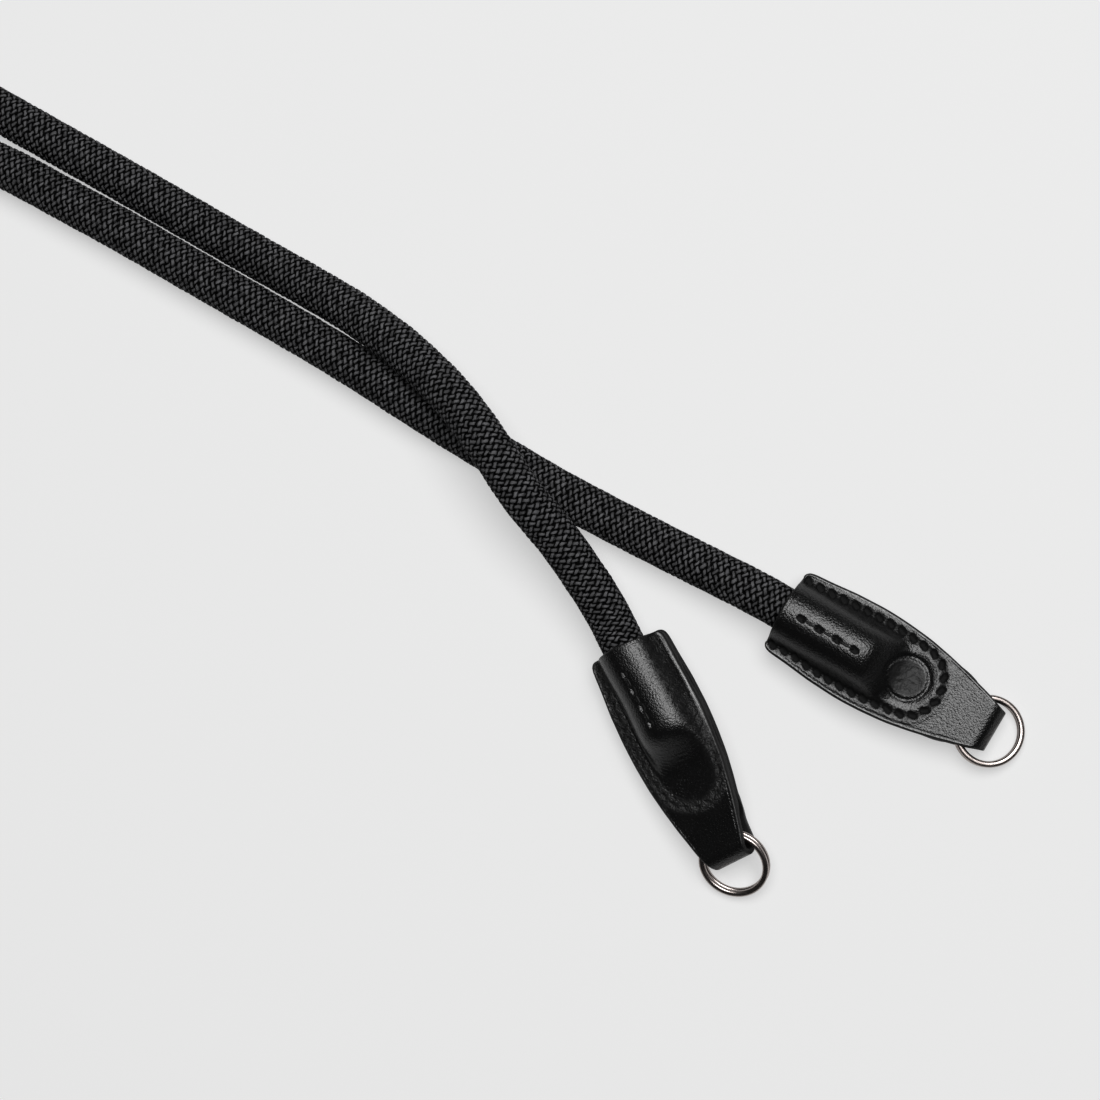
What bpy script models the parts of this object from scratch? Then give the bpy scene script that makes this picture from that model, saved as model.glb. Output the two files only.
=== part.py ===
"""A camera neck strap: one braided rope whose two ends are sewn into folded leather ends,
each of which holds a split ring for the camera's eyelet.

The strap lies on a flat surface at z = 0, folded in half. X runs along the strap, from the
neck loop to the rings, Y across it and Z up. Distances in the tables are in millimetres.
"""

import math
from collections import namedtuple

import bpy
import numpy as np
from mathutils import Matrix, Vector

MM = 0.001

# Driving dimensions.
ROPE_DIAMETER = 9.7 * MM
ROPE_IN_END = 20.0 * MM  # how far the rope reaches into a leather end
CLEARANCE = 0.3 * MM  # between the rope and the leather around it
LEATHER = 1.7 * MM  # one layer
FOLD_LEATHER = 1.2 * MM  # one layer where it is skived to fold round the ring
END_LENGTH = 52.0 * MM  # a leather end, from its mouth to its fold
ROPE_ABOVE_SEAM = 2.0 * MM  # the rope's axis above the plane where the two layers meet
RING_DIAMETER = 15.6 * MM
WIRE_WIDTH = 1.35 * MM  # of a split ring's flattened wire, from inside to outside
WIRE_HEIGHT = 1.2 * MM
COIL_PITCH = 1.25 * MM  # from one coil of a split ring to the other

# The origin is the middle of the ground under the leather ends and rings.
ORIGIN = Vector((65.72, -9.71, 0.0)) * MM

ROPE_RADIUS = ROPE_DIAMETER / 2
POCKET_RADIUS = ROPE_RADIUS + CLEARANCE
SLEEVE_RADIUS = POCKET_RADIUS + LEATHER
FRONT_RISE = SLEEVE_RADIUS + ROPE_ABOVE_SEAM - LEATHER  # of the front layer over the rope
BACK_DROP = SLEEVE_RADIUS - ROPE_ABOVE_SEAM - LEATHER  # of the back layer under it

ROPE_BEVEL_RESOLUTION = 4
ROPE_STEP = 12.2 * MM
SAMPLES_PER_LEG = 24
POCKET_SIDES = 32
POCKET_TURN = 0.37  # of one side, so that its edges don't fall in line with the section's

# Outline of a leather end: distance from the mouth, half the width there, and the share of
# the rope's height that the two layers still follow.
Station = namedtuple("Station", "along half_width over_rope")
STATIONS = [
    Station(0.0, 8.9, 1.0),
    Station(0.6, 9.5, 1.0),
    Station(2.0, 9.8, 1.0),
    Station(6.0, 10.1, 1.0),
    Station(12.0, 10.75, 1.0),
    Station(18.5, 11.05, 1.0),
    Station(21.4, 11.0, 0.93),
    Station(23.2, 10.9, 0.72),
    Station(25.0, 10.8, 0.45),
    Station(27.0, 10.6, 0.20),
    Station(29.0, 10.4, 0.05),
    Station(31.0, 10.15, 0.0),
    Station(36.0, 9.2, 0.0),
    Station(37.6, 8.8, 0.0),
    Station(39.2, 8.45, 0.0),
    Station(41.0, 8.0, 0.0),
    Station(42.6, 7.55, 0.0),
    Station(44.2, 7.1, 0.0),
    Station(46.5, 6.5, 0.0),
    Station(48.5, 5.85, 0.0),
    Station(49.7, 5.45, 0.0),
    Station(50.7, 5.15, 0.0),
    Station(51.5, 4.9, 0.0),
    Station(52.0, 4.7, 0.0),
]

# Section of a leather end over the rope: distance from the middle, and the shares of the
# front layer's rise and of the back layer's drop that are left there. The back is pressed
# flat and level in the middle, where it rests, although the rope's axis in it rises.
Rib = namedtuple("Rib", "across front back")
RIBS = [
    Rib(0.0, 1.0, 1.0),
    Rib(1.6, 0.97, 1.0),
    Rib(3.0, 0.903, 1.0),
    Rib(3.9, 0.83, 0.78),
    Rib(4.8, 0.725, 0.43),
    Rib(5.8, 0.55, 0.12),
    Rib(6.5, 0.345, 0.03),
    Rib(7.0, 0.17, 0.0),
    Rib(7.6, 0.05, 0.0),
    Rib(8.2, 0.01, 0.0),
]
EDGE_STRIP = 0.5 * MM  # the least width of flat leather outside the last rib

# The eye that the fold makes round the ring, in a side view of the leather end. The front
# layer runs on level over it, and the back layer drops.
EYE_START = 38.9 * MM  # where the two layers part
EYE_OPEN = 43.6 * MM  # where the eye has its full height
FOLD_ROUND = 3.2 * MM  # the length of the rounded fold

# The two ends as they lie: the rope's axis at the mouth, its heading and its fall, the roll
# at the mouth and beyond the rope, the share of the full width that the end was cut to, the
# eye's inner height, and how far the back layer's left edge is drawn in where the eye opens.
End = namedtuple("End", "name mouth heading fall roll_mouth roll_tip width eye drawn_in")
ENDS = [
    End("left", (51.5, 14.7, 6.848), 0.0, -1.4, 0.0, 0.0, 1.0, 5.2, 0.0),
    End("right", (25.8, -9.9, 8.6), -33.8, -1.6, 16.5, 22.0, 0.95, 4.8, 1.5),
]

# The split rings as they lie: the middle, and how each leans forwards and sideways.
Ring = namedtuple("Ring", "name middle heading fall roll")
RINGS = [
    Ring("left", (102.3, 14.2, 2.97), 0.0, 12.5, -6.0),
    Ring("right", (69.8, -38.0, 4.70), -33.8, 20.0, 22.0),
]

# The rope's axis from the right end's pocket, over the other strand, round the neck loop
# and back to the left end's pocket.
RoutePoint = namedtuple("RoutePoint", "x y z")
ROUTE = [
    RoutePoint(42.41, -21.02, 9.16),
    RoutePoint(34.11, -15.46, 8.88),
    RoutePoint(25.8, -9.9, 8.6),
    RoutePoint(21.65, -7.12, 8.62),
    RoutePoint(15.9, -3.7, 9.6),
    RoutePoint(8.7, -0.1, 11.0),
    RoutePoint(1.6, 3.1, 12.5),
    RoutePoint(-8.8, 6.9, 14.4),
    RoutePoint(-20.2, 12.4, 15.0),
    RoutePoint(-32.6, 17.6, 13.6),
    RoutePoint(-47.7, 21.4, 10.4),
    RoutePoint(-62.5, 23.1, 7.4),
    RoutePoint(-76.0, 23.3, 5.4),
    RoutePoint(-90.0, 23.1, 4.85),
    RoutePoint(-120.0, 22.9, 4.85),
    RoutePoint(-160.0, 22.4, 4.85),
    RoutePoint(-210.0, 22.2, 4.85),
    RoutePoint(-260.0, 23.0, 4.85),
    RoutePoint(-305.0, 22.6, 4.85),
    RoutePoint(-336.0, 15.5, 4.85),
    RoutePoint(-353.5, -1.5, 4.85),
    RoutePoint(-356.5, -22.5, 4.85),
    RoutePoint(-343.5, -40.5, 4.85),
    RoutePoint(-320.0, -49.0, 4.85),
    RoutePoint(-292.0, -46.5, 4.85),
    RoutePoint(-258.0, -34.5, 4.85),
    RoutePoint(-222.0, -15.5, 4.85),
    RoutePoint(-190.0, 2.0, 4.85),
    RoutePoint(-160.0, 10.8, 4.85),
    RoutePoint(-128.0, 12.8, 4.85),
    RoutePoint(-96.0, 13.2, 4.85),
    RoutePoint(-62.6, 13.3, 4.85),
    RoutePoint(-34.5, 12.3, 4.85),
    RoutePoint(-18.0, 12.0, 4.85),
    RoutePoint(-3.9, 12.0, 4.85),
    RoutePoint(16.1, 12.9, 4.9),
    RoutePoint(33.0, 13.9, 5.8),
    RoutePoint(43.0, 14.5, 6.61),
    RoutePoint(51.5, 14.7, 6.848),
    RoutePoint(61.5, 14.7, 7.092),
    RoutePoint(71.5, 14.7, 7.336),
]


def clear_scene():
    for each in list(bpy.data.objects):
        bpy.data.objects.remove(each, do_unlink=True)


def material(name, colour, roughness, metallic=0.0):
    made = bpy.data.materials.new(name)
    made.use_nodes = True
    shader = made.node_tree.nodes["Principled BSDF"]
    shader.inputs["Base Color"].default_value = (*colour, 1.0)
    shader.inputs["Roughness"].default_value = roughness
    shader.inputs["Metallic"].default_value = metallic
    made.diffuse_color = (*colour, 1.0)
    return made


def add_mesh(name, points, faces, finish=None):
    mesh = bpy.data.meshes.new(name)
    mesh.from_pydata([tuple(p) for p in points], [], faces)
    mesh.validate()
    mesh.update()
    made = bpy.data.objects.new(name, mesh)
    bpy.context.collection.objects.link(made)
    if finish:
        mesh.materials.append(finish)
    return made


def cut(piece, cutter):
    """Takes the cutter's space out of the piece."""
    cutter.hide_render = True
    cutter.display_type = "WIRE"
    modifier = piece.modifiers.new(f"less {cutter.name}", "BOOLEAN")
    modifier.operation = "DIFFERENCE"
    modifier.object = cutter


def grid_faces(rows, columns, start=0):
    """Quads of a grid of points that is stored row by row."""
    return [
        (start + i * columns + j, start + (i + 1) * columns + j,
         start + (i + 1) * columns + j + 1, start + i * columns + j + 1)
        for i in range(rows - 1)
        for j in range(columns - 1)
    ]


def smooth_line(points, step):
    """Points at even steps on a centripetal Catmull-Rom curve through the given ones."""
    given = [Vector(p) for p in points]
    line = [2 * given[0] - given[1]] + given + [2 * given[-1] - given[-2]]
    dense = []
    for a, b, c, d in zip(line, line[1:], line[2:], line[3:]):
        knots = [0.0]
        for p, q in ((a, b), (b, c), (c, d)):
            knots.append(knots[-1] + math.sqrt((q - p).length))
        t0, t1, t2, t3 = knots
        for k in range(SAMPLES_PER_LEG):
            t = t1 + (t2 - t1) * k / SAMPLES_PER_LEG
            ab = a * ((t1 - t) / (t1 - t0)) + b * ((t - t0) / (t1 - t0))
            bc = b * ((t2 - t) / (t2 - t1)) + c * ((t - t1) / (t2 - t1))
            cd = c * ((t3 - t) / (t3 - t2)) + d * ((t - t2) / (t3 - t2))
            abc = ab * ((t2 - t) / (t2 - t0)) + bc * ((t - t0) / (t2 - t0))
            bcd = bc * ((t3 - t) / (t3 - t1)) + cd * ((t - t1) / (t3 - t1))
            dense.append(abc * ((t2 - t) / (t2 - t1)) + bcd * ((t - t1) / (t2 - t1)))
    dense.append(given[-1])
    dense = np.array([tuple(p) for p in dense])
    lengths = np.concatenate([[0.0], np.cumsum(np.linalg.norm(np.diff(dense, axis=0), axis=1))])
    at = np.linspace(0.0, lengths[-1], round(lengths[-1] / step) + 1)
    return np.stack([np.interp(at, lengths, dense[:, k]) for k in range(3)], axis=1)


def make_rope(finish):
    line = smooth_line([Vector(p) * MM - ORIGIN for p in ROUTE], ROPE_STEP)
    line[:, 2] = np.maximum(line[:, 2], ROPE_RADIUS)
    curve = bpy.data.curves.new("rope", "CURVE")
    curve.dimensions = "3D"
    curve.bevel_depth = ROPE_RADIUS
    curve.bevel_resolution = ROPE_BEVEL_RESOLUTION
    curve.use_fill_caps = True
    spline = curve.splines.new("POLY")
    spline.points.add(len(line) - 1)
    for point, place in zip(spline.points, line):
        point.co = (*place, 1.0)
    curve.materials.append(finish)
    made = bpy.data.objects.new("rope", curve)
    bpy.context.collection.objects.link(made)
    return made


def eased(value, start, stop):
    """0 up to start, 1 from stop, and a smooth change between them."""
    share = min(max((value - start) / (stop - start), 0.0), 1.0)
    return share * share * (3 - 2 * share)


def layer_at(along):
    """One layer's thickness at a distance from the mouth."""
    return LEATHER + (FOLD_LEATHER - LEATHER) * eased(along, EYE_START, EYE_OPEN - 1.5 * MM)


def thickness_at(along, eye):
    """Both layers and the eye between them."""
    return 2 * LEATHER + (2 * (FOLD_LEATHER - LEATHER) + eye) * eased(along, EYE_START, EYE_OPEN)


def end_points(end, front):
    """The front or back face of a leather end, as rows of points across it."""
    points = []
    side = 1 if front else -1
    for station in STATIONS:
        along, half_width = station.along * MM, station.half_width * MM * end.width
        into_fold = max((along - END_LENGTH + FOLD_ROUND) / FOLD_ROUND, 0.0)
        level = thickness_at(along, end.eye * MM) / 2
        level *= 0.95 * math.sqrt(max(1 - into_fold**2, 0.0)) + 0.05
        rise = FRONT_RISE if front else BACK_DROP + along * math.tan(math.radians(-end.fall))
        rise *= station.over_rope
        squeeze = min(1.0, (half_width - EDGE_STRIP) / (RIBS[-1].across * MM))
        half_row = [
            (rib.across * MM * squeeze, level + rise * (rib.front if front else rib.back))
            for rib in RIBS
        ]
        half_row.append((half_width, level))
        row = [(-y, z) for y, z in reversed(half_row[1:])] + half_row
        if not front:
            drawn_in = end.drawn_in * MM * eased(along, EYE_START, EYE_OPEN)
            drawn_in *= 1 - eased(along, EYE_OPEN, END_LENGTH)
            row[-1] = (half_width - drawn_in, level)
            row[-2] = (min(row[-2][0], half_width - drawn_in - 0.2 * MM), row[-2][1])
        points += [(along, y, side * z - ROPE_ABOVE_SEAM) for y, z in row]
    return points


def end_body(end, finish):
    """A leather end in its own frame, solid: x from the mouth along the rope's axis."""
    rows, columns = len(STATIONS), 2 * len(RIBS) + 1
    count = rows * columns
    faces = grid_faces(rows, columns)
    faces += [tuple(reversed(face)) for face in grid_faces(rows, columns, count)]
    rim = [i * columns for i in range(rows)]
    rim += [(rows - 1) * columns + j for j in range(1, columns)]
    rim += [i * columns + columns - 1 for i in range(rows - 2, -1, -1)]
    rim += list(range(columns - 2, 0, -1))
    for a, b in zip(rim, rim[1:] + rim[:1]):
        faces.append((a, a + count, b + count, b))
    points = end_points(end, True) + end_points(end, False)
    return add_mesh(f"{end.name}_leather_end", points, faces, finish)


def pocket_cutter(name):
    """The space of the rope's end: a round hole from the mouth."""
    sides = POCKET_SIDES
    points = [
        (x, POCKET_RADIUS * math.cos(turn), POCKET_RADIUS * math.sin(turn))
        for x in (-2.0 * MM, ROPE_IN_END + CLEARANCE)
        for turn in (2 * math.pi * (k + POCKET_TURN) / sides for k in range(sides))
    ]
    faces = [(k, (k + 1) % sides, sides + (k + 1) % sides, sides + k) for k in range(sides)]
    faces += [tuple(reversed(range(sides))), tuple(range(sides, 2 * sides))]
    return add_mesh(name, points, faces)


def eye_cutter(name, eye):
    """The space between the two layers round the ring, right across the leather end."""
    reach = 12 * MM
    end = END_LENGTH - FOLD_LEATHER
    turn_in = end - (FOLD_ROUND - FOLD_LEATHER)
    upper = []
    for along in (39.6 * MM, 40.5 * MM, 41.5 * MM, 42.5 * MM, EYE_OPEN, turn_in):
        upper.append((along, thickness_at(along, eye) / 2 - layer_at(along)))
    for degrees in (30, 55, 75):
        turn = math.radians(degrees)
        upper.append((turn_in + (end - turn_in) * math.sin(turn), eye / 2 * math.cos(turn)))
    outline = [(EYE_START, 0.0)] + [(x, -z) for x, z in upper] + [(end, 0.0)] + upper[::-1]
    n = len(outline)
    points = [(x, y, z - ROPE_ABOVE_SEAM) for y in (-reach, reach) for x, z in outline]
    faces = [(n + k, n + (k + 1) % n, (k + 1) % n, k) for k in range(n)]
    faces += [tuple(range(n)), tuple(reversed(range(n, 2 * n)))]
    return add_mesh(name, points, faces)


def lay(piece, end):
    """Lowers the eye, twists a leather end about the rope's axis and puts it where it lies."""
    lower = FOLD_LEATHER + end.eye * MM / 2 - LEATHER
    for vertex in piece.data.vertices:
        share = min(max(vertex.co.x / ROPE_IN_END, 0.0), 1.0)
        roll = end.roll_mouth + (end.roll_tip - end.roll_mouth) * share
        vertex.co.z -= lower * eased(vertex.co.x, EYE_START, EYE_OPEN)
        vertex.co = Matrix.Rotation(math.radians(roll), 4, "X") @ vertex.co
    piece.location = Vector(end.mouth) * MM - ORIGIN
    piece.rotation_euler = (0.0, math.radians(end.fall), math.radians(end.heading))


def make_end(end, finish):
    body = end_body(end, finish)
    cutters = [pocket_cutter(f"{end.name}_pocket"), eye_cutter(f"{end.name}_eye", end.eye * MM)]
    for cutter in cutters:
        cut(body, cutter)
    return body, cutters


def bake(piece, cutters):
    """Keeps the cut shape as the piece's own mesh, so that it can be twisted."""
    bpy.context.view_layer.update()
    shaped = piece.evaluated_get(bpy.context.evaluated_depsgraph_get())
    mesh = bpy.data.meshes.new_from_object(shaped)
    piece.modifiers.clear()
    piece.data = mesh
    for cutter in cutters:
        bpy.data.objects.remove(cutter, do_unlink=True)


def make_ring(ring, finish):
    """A split ring: two coils of wire that cross over, beside their ends, inside the eye."""
    sides = 10
    steps = 112
    crossing = math.radians(26)  # half of the arc in which the wire changes coils
    start, stop = crossing + math.radians(6), 4 * math.pi - crossing - math.radians(6)
    mean = (RING_DIAMETER - WIRE_WIDTH) / 2
    points = []
    for k in range(steps + 1):
        turn = start + (stop - start) * k / steps
        share = min(max((turn - 2 * math.pi + crossing) / (2 * crossing), 0.0), 1.0)
        level = COIL_PITCH * (share * share * (3 - 2 * share) - 0.5)
        for s in range(sides):
            round_wire = 2 * math.pi * s / sides
            out = mean + WIRE_WIDTH / 2 * math.cos(round_wire)
            up = level + WIRE_HEIGHT / 2 * math.sin(round_wire)
            points.append((-out * math.cos(turn), -out * math.sin(turn), up))
    faces = [
        (i * sides + s, (i + 1) * sides + s, (i + 1) * sides + (s + 1) % sides, i * sides + (s + 1) % sides)
        for i in range(steps)
        for s in range(sides)
    ]
    faces.append(tuple(range(sides)))
    faces.append(tuple(reversed(range(steps * sides, (steps + 1) * sides))))
    made = add_mesh(f"{ring.name}_split_ring", points, faces, finish)
    made.location = Vector(ring.middle) * MM - ORIGIN
    made.rotation_euler = [math.radians(a) for a in (ring.roll, ring.fall, ring.heading)]
    made.data.shade_smooth()
    return made


def main():
    clear_scene()
    rope_finish = material("braided rope", (0.012, 0.012, 0.013), 0.75)
    leather_finish = material("black leather", (0.010, 0.010, 0.010), 0.38)
    ring_finish = material("polished steel", (0.46, 0.43, 0.42), 0.16, 1.0)
    make_rope(rope_finish)
    for end in ENDS:
        body, cutters = make_end(end, leather_finish)
        bake(body, cutters)
        lay(body, end)
    for ring in RINGS:
        make_ring(ring, ring_finish)


main()
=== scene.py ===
"""A camera neck strap as it lies on a pale surface: braided rope, leather ends, split rings.

Distances in the tables are in millimetres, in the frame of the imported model: X along the
folded strap towards the rings, Z up from the surface.
"""

import math
from collections import namedtuple

import bmesh
import bpy
import numpy as np
from mathutils import Matrix, Vector


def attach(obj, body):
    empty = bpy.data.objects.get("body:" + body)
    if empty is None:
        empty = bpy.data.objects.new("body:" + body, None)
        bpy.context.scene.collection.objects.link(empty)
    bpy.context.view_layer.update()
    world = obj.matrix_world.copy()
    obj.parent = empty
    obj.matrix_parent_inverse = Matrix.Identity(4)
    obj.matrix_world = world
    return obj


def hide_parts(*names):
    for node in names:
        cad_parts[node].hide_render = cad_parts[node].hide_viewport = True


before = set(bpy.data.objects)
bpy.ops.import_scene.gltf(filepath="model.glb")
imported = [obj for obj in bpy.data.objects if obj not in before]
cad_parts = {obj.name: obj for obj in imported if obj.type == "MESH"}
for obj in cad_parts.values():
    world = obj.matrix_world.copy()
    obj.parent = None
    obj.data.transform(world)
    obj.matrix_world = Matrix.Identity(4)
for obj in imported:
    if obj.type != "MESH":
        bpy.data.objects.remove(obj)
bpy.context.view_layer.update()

bl_info = {
    "name": "Camera Neck Strap",
    "version": (1, 0, 0),
    "blender": (4, 5, 0),
    "location": "3D View > Sidebar > Neck Strap",
    "description": "Builds a braided rope camera strap with leather ends and split rings",
    "category": "Object",
}

MM = 0.001
BODY = "root"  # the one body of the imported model

# Middle of the ground under the leather ends and rings, in the tables' own millimetres.
ORIGIN = np.array([65.72, -9.71, 0.0])

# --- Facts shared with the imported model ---

ROPE_IN_END = 20.0
POCKET_RADIUS = 5.15
LEATHER = 1.7
FOLD_LEATHER = 1.2
END_LENGTH = 52.0
ROPE_ABOVE_SEAM = 2.0
SLEEVE_RADIUS = POCKET_RADIUS + LEATHER
FRONT_RISE = SLEEVE_RADIUS + ROPE_ABOVE_SEAM - LEATHER
BACK_DROP = SLEEVE_RADIUS - ROPE_ABOVE_SEAM - LEATHER
EYE_START = 38.9
EYE_OPEN = 43.6
FOLD_ROUND = 3.2
RING_DIAMETER = 15.6
WIRE_WIDTH = 1.35
WIRE_HEIGHT = 1.2
COIL_PITCH = 1.25
ROPE_STEP = 12.2

Station = namedtuple("Station", "along half_width over_rope")
STATIONS = [Station(*row) for row in (
    (0.0, 8.9, 1.0), (0.6, 9.5, 1.0), (2.0, 9.8, 1.0), (6.0, 10.1, 1.0),
    (12.0, 10.75, 1.0), (18.5, 11.05, 1.0), (21.4, 11.0, 0.93), (23.2, 10.9, 0.72),
    (25.0, 10.8, 0.45), (27.0, 10.6, 0.20), (29.0, 10.4, 0.05), (31.0, 10.15, 0.0),
    (36.0, 9.2, 0.0), (37.6, 8.8, 0.0), (39.2, 8.45, 0.0), (41.0, 8.0, 0.0),
    (42.6, 7.55, 0.0), (44.2, 7.1, 0.0), (46.5, 6.5, 0.0), (48.5, 5.85, 0.0),
    (49.7, 5.45, 0.0), (50.7, 5.15, 0.0), (51.5, 4.9, 0.0), (52.0, 4.7, 0.0),
)]

Rib = namedtuple("Rib", "across front back")
RIBS = [Rib(*row) for row in (
    (0.0, 1.0, 1.0), (1.6, 0.97, 1.0), (3.0, 0.903, 1.0), (3.9, 0.83, 0.78),
    (4.8, 0.725, 0.43), (5.8, 0.55, 0.12), (6.5, 0.345, 0.03), (7.0, 0.17, 0.0),
    (7.6, 0.05, 0.0), (8.2, 0.01, 0.0),
)]

End = namedtuple("End", "name mouth heading fall roll_mouth roll_tip width eye drawn_in")
ENDS = {
    "left": End("left", (51.5, 14.7, 6.848), 0.0, -1.4, 0.0, 0.0, 1.0, 5.2, 0.0),
    "right": End("right", (25.8, -9.9, 8.6), -33.8, -1.6, 16.5, 22.0, 0.95, 4.8, 1.5),
}

Ring = namedtuple("Ring", "name middle heading fall roll")
RINGS = [
    Ring("left", (102.3, 14.2, 2.97), 0.0, 12.5, -6.0),
    Ring("right", (69.8, -38.0, 4.70), -33.8, 20.0, 22.0),
]

RoutePoint = namedtuple("RoutePoint", "x y z")
ROUTE = [RoutePoint(*row) for row in (
    (42.41, -21.02, 9.16), (34.11, -15.46, 8.88), (25.8, -9.9, 8.6),
    (21.65, -7.12, 8.62), (15.9, -3.7, 9.6), (8.7, -0.1, 11.0),
    (1.6, 3.1, 12.5), (-8.8, 6.9, 14.4), (-20.2, 12.4, 15.0),
    (-32.6, 17.6, 13.6), (-47.7, 21.4, 10.4), (-62.5, 23.1, 7.4),
    (-76.0, 23.3, 5.4), (-90.0, 23.1, 4.85), (-120.0, 22.9, 4.85),
    (-160.0, 22.4, 4.85), (-210.0, 22.2, 4.85), (-260.0, 23.0, 4.85),
    (-305.0, 22.6, 4.85), (-336.0, 15.5, 4.85), (-353.5, -1.5, 4.85),
    (-356.5, -22.5, 4.85), (-343.5, -40.5, 4.85), (-320.0, -49.0, 4.85),
    (-292.0, -46.5, 4.85), (-258.0, -34.5, 4.85), (-222.0, -15.5, 4.85),
    (-190.0, 2.0, 4.85), (-160.0, 10.8, 4.85), (-128.0, 12.8, 4.85),
    (-96.0, 13.2, 4.85), (-62.6, 13.3, 4.85), (-34.5, 12.3, 4.85),
    (-18.0, 12.0, 4.85), (-3.9, 12.0, 4.85), (16.1, 12.9, 4.9),
    (33.0, 13.9, 5.8), (43.0, 14.5, 6.61), (51.5, 14.7, 6.848),
    (61.5, 14.7, 7.092), (71.5, 14.7, 7.336),
)]
SAMPLES_PER_LEG = 24
LYING_HEIGHT = 4.85  # of the rope's axis, where the rope lies on the surface

# --- Seams and stamp, in a leather end's own frame: along from the mouth, across from the axis ---

SeamPoint = namedtuple("SeamPoint", "along across")
LEFT_EDGE_SEAM = [SeamPoint(*row) for row in (
    (1.6, 7.75), (6.5, 7.95), (12.1, 8.35), (17.5, 8.65), (23.0, 8.7),
    (29.0, 8.3), (32.3, 7.9), (34.8, 6.9), (36.6, 5.1), (37.7, 2.4),
    (38.0, -0.3), (37.2, -3.1), (35.6, -5.6), (32.8, -7.0), (29.6, -7.5),
    (23.9, -8.2), (18.0, -8.4), (12.0, -8.3), (6.5, -7.9), (1.6, -8.0),
)]
RIGHT_EDGE_SEAM = [SeamPoint(*row) for row in (
    (1.6, 6.9), (7.9, 7.3), (16.0, 8.0), (21.1, 8.5), (26.0, 8.5),
    (30.1, 8.1), (33.3, 7.6), (35.7, 6.5), (37.5, 4.1), (38.4, 1.2),
    (37.6, -1.9), (35.9, -5.2), (32.7, -7.0), (28.8, -8.0), (22.0, -8.7),
    (14.0, -8.7), (7.0, -8.3), (1.6, -7.9),
)]
# How deep the holes are, how strongly the leather puffs up and puckers beside the seam, and
# how dull it is in the holes.
Seams = namedtuple("Seams", "edge crown_from crown_to hole_depth puff pucker dull")
SEAMS = {
    "left": Seams(
        LEFT_EDGE_SEAM, SeamPoint(4.8, -0.25), SeamPoint(18.0, -0.25), 0.8, 0.85, 0.28, 1.0),
    "right": Seams(
        RIGHT_EDGE_SEAM, SeamPoint(6.1, 0.1), SeamPoint(18.4, 1.1), 0.25, 0.3, 1.1, 0.0),
}
EDGE_STITCHES = 30
CROWN_STITCHES = 3
STAMP = SeamPoint(30.3, 0.45)


# --- Settings that a user would change ---


def size(name, description, default):
    return bpy.props.FloatProperty(
        name=name, description=description, default=default, unit="LENGTH", precision=5)


def number(name, description, default):
    return bpy.props.FloatProperty(name=name, description=description, default=default)


def turn(name, description, default):
    return bpy.props.FloatProperty(
        name=name, description=description, default=default, subtype="ANGLE")


def colour(name, description, default):
    return bpy.props.FloatVectorProperty(
        name=name, description=description, default=default, size=3, subtype="COLOR")


class NeckStrapRopeSettings(bpy.types.PropertyGroup):
    """Sizes and colours of the braided rope."""

    diameter: size("Diameter", "Across the crests of the braid", 0.0097)
    period: size("Period", "From one bead of the braid to the next along the rope", 0.00149)
    carriers: bpy.props.IntProperty(
        name="Carriers", description="Number of strands in the braid, a multiple of 4", default=24)
    arch: size("Arch", "How far a strand rises where it lies on top", 0.00012)
    depth: size("Depth", "Of the grooves between the strands", 0.00027)
    twist: turn("Twist", "Slow turn of the braid for each metre of rope", -2.8)
    crest: colour("Strand", "Colour on top of a strand", (0.165, 0.165, 0.17))
    # The groove colour is painted shade: the braid's colour darkens to it in the gaps round each
    # bead and along the line between a strand's two yarns.
    groove: colour("Groove", "Colour between strands", (0.0006, 0.0006, 0.0007))


class NeckStrapLeatherSettings(bpy.types.PropertyGroup):
    """Sizes and colours of the leather ends and their seams."""

    face: colour("Leather", "Colour of the leather's face", (0.007, 0.007, 0.0072))
    edge: colour("Edge", "Colour of the dyed cut edge", (0.004, 0.0036, 0.0036))
    grain: size("Grain", "Width of one pebble of the grain", 0.00044)
    thread: size("Thread", "Diameter of the sewing thread", 0.00085)
    thread_colour: colour("Thread colour", "Colour of the waxed thread", (0.012, 0.012, 0.012))


class NeckStrapRingSettings(bpy.types.PropertyGroup):
    """Sizes and colours of the split rings."""

    wire_width: size(
        "Wire width", "Of the wire, from inside to outside of the ring", WIRE_WIDTH * MM)
    wire_height: size("Wire height", "Of the wire, across the ring's plane", WIRE_HEIGHT * MM)
    metal: colour("Metal", "Colour of the plated steel", (0.5, 0.455, 0.435))


class NeckStrapStageSettings(bpy.types.PropertyGroup):
    """The surface, the light and the camera."""

    surface: colour("Surface", "Colour of the surface under the strap", (0.26, 0.26, 0.26))
    softbox: size("Softbox", "Width of the light overhead", 1.42)
    power: number("Power", "Of the light overhead, in watts", 34.0)
    glow: number("Glow", "How brightly the surface is lit from below", 0.56)
    room: number("Room", "How bright the room is around the lights", 0.04)
    distance: size("Distance", "From the camera to the surface", 0.75)
    lean: turn(
        "Lean", "How far the camera's view is from straight down", math.radians(8.0))


# --- Materials ---


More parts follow.
